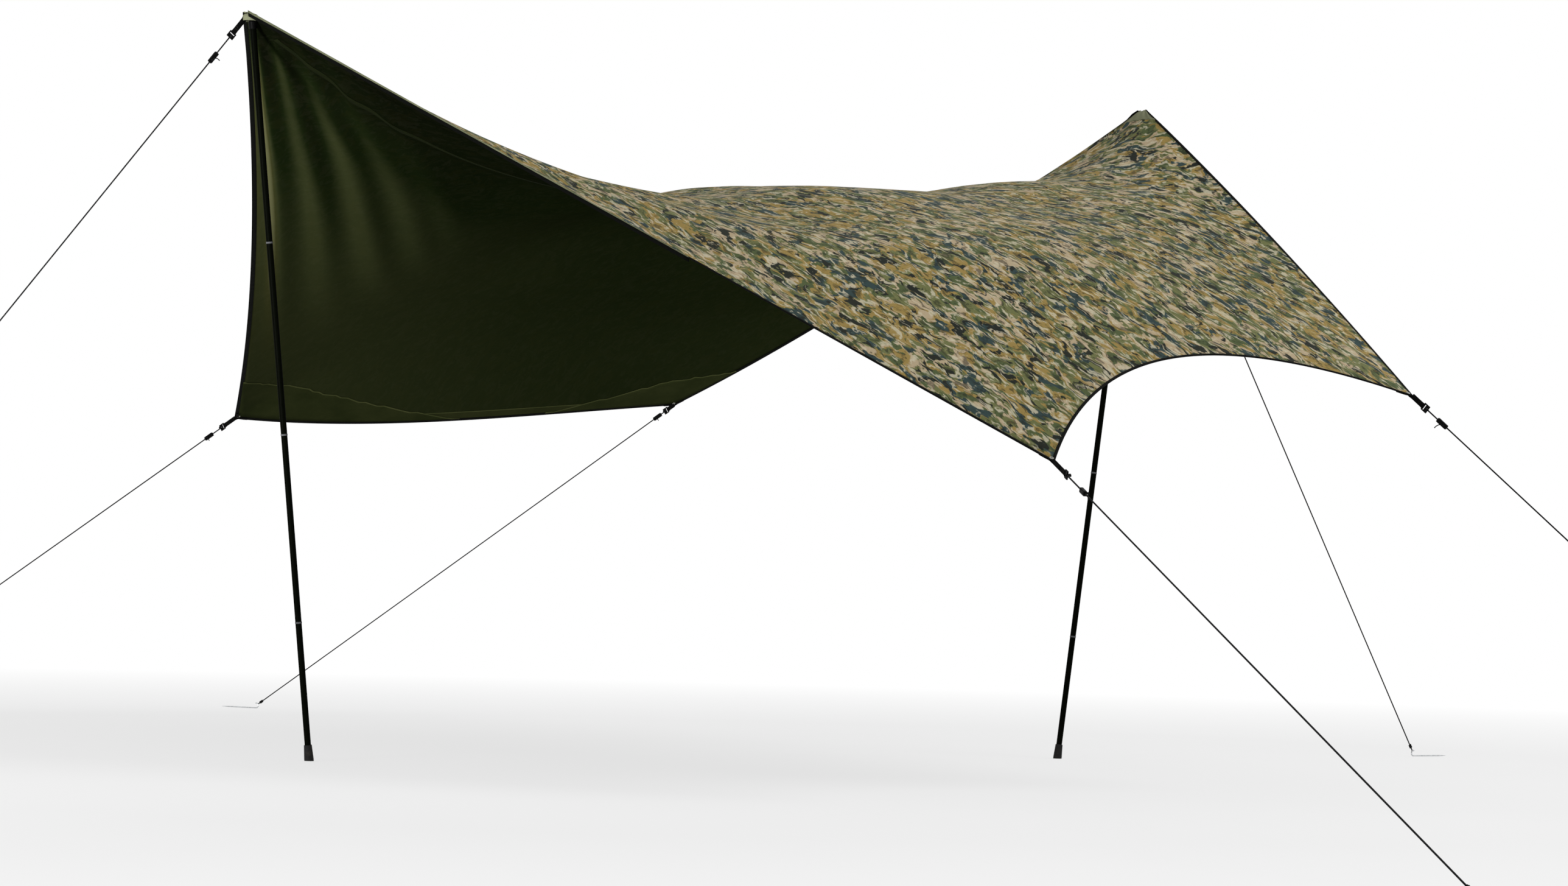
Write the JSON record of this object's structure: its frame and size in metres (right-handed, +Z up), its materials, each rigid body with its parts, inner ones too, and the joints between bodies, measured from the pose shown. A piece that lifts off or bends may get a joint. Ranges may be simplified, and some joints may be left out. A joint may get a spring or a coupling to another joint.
{
  "type": "camping tarp",
  "caption": "Six-cornered wing tarp in camouflage cloth, pitched on sectional poles with guylines, sliding tensioners and hooked pegs.",
  "frame": {"origin": "on the ground, under the middle of the canopy with its corner straps, guylines left out", "axes": "+X along the ridge from the left peak to the right peak, +Y towards the rear hem, +Z up"},
  "size_m": [6.4856, 8.8747, 2.0939],
  "materials": {
    "camo_cloth": "coated camouflage-print polyester, dark olive inner coating",
    "patch_cloth": "dark reinforcement cloth and seam tape",
    "cap_cloth": "khaki-green reinforcement cloth",
    "webbing": "black woven webbing and hem binding",
    "buckle_plastic": "black moulded plastic",
    "cord": "dark grey braided guyline",
    "peg_steel": "plain bent steel wire",
    "pole_metal": "black coated tube",
    "foot_rubber": "black rubber"
  },
  "bodies": {
    "canopy": {"rear_panel": "camo_cloth", "front_panel": "camo_cloth", "ridge_tape": "patch_cloth", "peak_cap_left": "cap_cloth", "peak_cap_right": "cap_cloth", "patch_rear_left": "patch_cloth", "patch_rear_right": "patch_cloth", "patch_front_left": "patch_cloth", "patch_front_right": "patch_cloth", "binding_rear_left": "webbing", "binding_rear": "webbing", "binding_rear_right": "webbing", "binding_front_left": "webbing", "binding_front": "webbing", "binding_front_right": "webbing", "strap_peak_left": "webbing", "buckle_peak_left": "buckle_plastic", "guyline_peak_left": "cord", "strap_peak_right": "webbing", "buckle_peak_right": "buckle_plastic", "guyline_peak_right": "cord", "strap_rear_left": "webbing", "buckle_rear_left": "buckle_plastic", "guyline_rear_left": "cord", "strap_rear_right": "webbing", "buckle_rear_right": "buckle_plastic", "guyline_rear_right": "cord", "strap_front_left": "webbing", "buckle_front_left": "buckle_plastic", "guyline_front_left": "cord", "strap_front_right": "webbing", "buckle_front_right": "buckle_plastic", "guyline_front_right": "cord", "pole_cup_left": "buckle_plastic", "pole_left_tip": "buckle_plastic", "pole_left_top": "pole_metal", "pole_cup_right": "buckle_plastic", "pole_right_tip": "buckle_plastic", "pole_right_top": "pole_metal"},
    "pole_left_upper": {"pole_left_upper": "pole_metal"},
    "pole_left_lower": {"pole_left_lower": "pole_metal"},
    "pole_left_base": {"pole_left_base": "pole_metal", "pole_left_foot": "foot_rubber"},
    "pole_right_upper": {"pole_right_upper": "pole_metal"},
    "pole_right_lower": {"pole_right_lower": "pole_metal"},
    "pole_right_base": {"pole_right_base": "pole_metal", "pole_right_foot": "foot_rubber"},
    "tensioner_peak_left": {"tensioner_peak_left": "buckle_plastic"},
    "peg_peak_left": {"peg_peak_left": "peg_steel"},
    "tensioner_peak_right": {"tensioner_peak_right": "buckle_plastic"},
    "peg_peak_right": {"peg_peak_right": "peg_steel"},
    "tensioner_rear_left": {"tensioner_rear_left": "buckle_plastic"},
    "peg_rear_left": {"peg_rear_left": "peg_steel"},
    "tensioner_rear_right": {"tensioner_rear_right": "buckle_plastic"},
    "peg_rear_right": {"peg_rear_right": "peg_steel"},
    "tensioner_front_left": {"tensioner_front_left": "buckle_plastic"},
    "peg_front_left": {"peg_front_left": "peg_steel"},
    "tensioner_front_right": {"tensioner_front_right": "buckle_plastic"},
    "peg_front_right": {"peg_front_right": "peg_steel"}
  },
  "joints": [
    {"name": "left_pole_upper_pull", "type": "slide", "parent": "canopy", "child": "pole_left_upper", "axis": [0.1249, 0.0102, -0.9921], "range_m": [0, 0.06]},
    {"name": "left_pole_lower_pull", "type": "slide", "parent": "pole_left_upper", "child": "pole_left_lower", "axis": [0.1249, 0.0102, -0.9921], "range_m": [0, 0.06]},
    {"name": "left_pole_base_pull", "type": "slide", "parent": "pole_left_lower", "child": "pole_left_base", "axis": [0.1249, 0.0102, -0.9921], "range_m": [0, 0.06]},
    {"name": "right_pole_upper_pull", "type": "slide", "parent": "canopy", "child": "pole_right_upper", "axis": [-0.1206, 0.0115, -0.9926], "range_m": [0, 0.06]},
    {"name": "right_pole_lower_pull", "type": "slide", "parent": "pole_right_upper", "child": "pole_right_lower", "axis": [-0.1206, 0.0115, -0.9926], "range_m": [0, 0.06]},
    {"name": "right_pole_base_pull", "type": "slide", "parent": "pole_right_lower", "child": "pole_right_base", "axis": [-0.1206, 0.0115, -0.9926], "range_m": [0, 0.06]},
    {"name": "tensioner_peak_left_slide", "type": "slide", "parent": "canopy", "child": "tensioner_peak_left", "axis": [-0.6153, 0.0182, -0.7881], "range_m": [-0.05, 0.4]},
    {"name": "peg_peak_left_turn", "type": "hinge", "parent": "canopy", "child": "peg_peak_left", "pos_m": [-3.223, 0.156, 0.01125], "axis": [0, 0, 1], "range_deg": [-25, 25]},
    {"name": "tensioner_peak_right_slide", "type": "slide", "parent": "canopy", "child": "tensioner_peak_right", "axis": [0.5419, 0.0373, -0.8396], "range_m": [-0.05, 0.4]},
    {"name": "peg_peak_right_turn", "type": "hinge", "parent": "canopy", "child": "peg_peak_right", "pos_m": [2.941, 0.204, 0.01125], "axis": [0, 0, 1], "range_deg": [-25, 25]},
    {"name": "tensioner_rear_left_slide", "type": "slide", "parent": "canopy", "child": "tensioner_rear_left", "axis": [-0.3838, 0.7721, -0.5066], "range_m": [-0.033, 0.4]},
    {"name": "peg_rear_left_turn", "type": "hinge", "parent": "canopy", "child": "peg_rear_left", "pos_m": [-1.288, 3.895, 0.01125], "axis": [0, 0, 1], "range_deg": [-25, 25]},
    {"name": "tensioner_rear_right_slide", "type": "slide", "parent": "canopy", "child": "tensioner_rear_right", "axis": [-0.3873, 0.7481, -0.5389], "range_m": [-0.01, 0.4]},
    {"name": "peg_rear_right_turn", "type": "hinge", "parent": "canopy", "child": "peg_rear_right", "pos_m": [0.385, 3.863, 0.01125], "axis": [0, 0, 1], "range_deg": [-25, 25]},
    {"name": "tensioner_front_left_slide", "type": "slide", "parent": "canopy", "child": "tensioner_front_left", "axis": [-0.3284, -0.8919, -0.311], "range_m": [-0.05, 0.4]},
    {"name": "peg_front_left_turn", "type": "hinge", "parent": "canopy", "child": "peg_front_left", "pos_m": [-1.465, -4.684, 0.01125], "axis": [0, 0, 1], "range_deg": [-25, 25]},
    {"name": "tensioner_front_right_slide", "type": "slide", "parent": "canopy", "child": "tensioner_front_right", "axis": [0.2681, -0.7213, -0.6387], "range_m": [-0.034, 0.4]},
    {"name": "peg_front_right_turn", "type": "hinge", "parent": "canopy", "child": "peg_front_right", "pos_m": [1.311, -3.207, 0.01125], "axis": [0, 0, 1], "range_deg": [-25, 25]}
  ]
}
